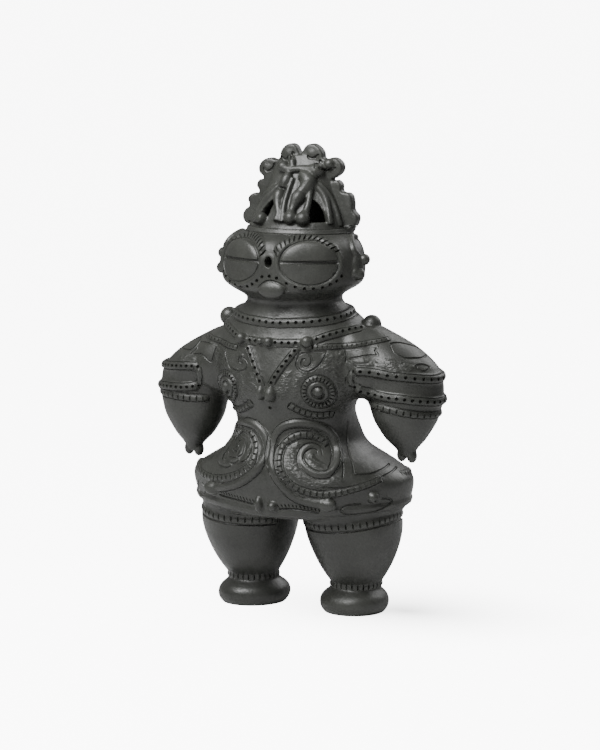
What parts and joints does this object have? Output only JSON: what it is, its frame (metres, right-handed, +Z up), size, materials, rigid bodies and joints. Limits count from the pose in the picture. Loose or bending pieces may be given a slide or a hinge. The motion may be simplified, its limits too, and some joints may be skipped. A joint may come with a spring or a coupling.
{
  "type": "goggle-eyed clay figurine",
  "caption": "Standing goggle-eyed figurine in black clay after an ancient dogu, with a pierced crown, pricked collar, banded sleeves and scrolled skirt.",
  "frame": {"origin": "on the ground between the feet, under the centre of the figure's bounding box", "axes": "+Z up from the soles to the crown, -Y the way the figure faces, +X the figure's left hand"},
  "size_m": [0.1606, 0.0904, 0.2404],
  "materials": {
    "black_clay": "smoked black earthenware, burnished to a soft sheen"
  },
  "bodies": {
    "root": {"dogu_figurine": "black_clay"}
  },
  "joints": []
}
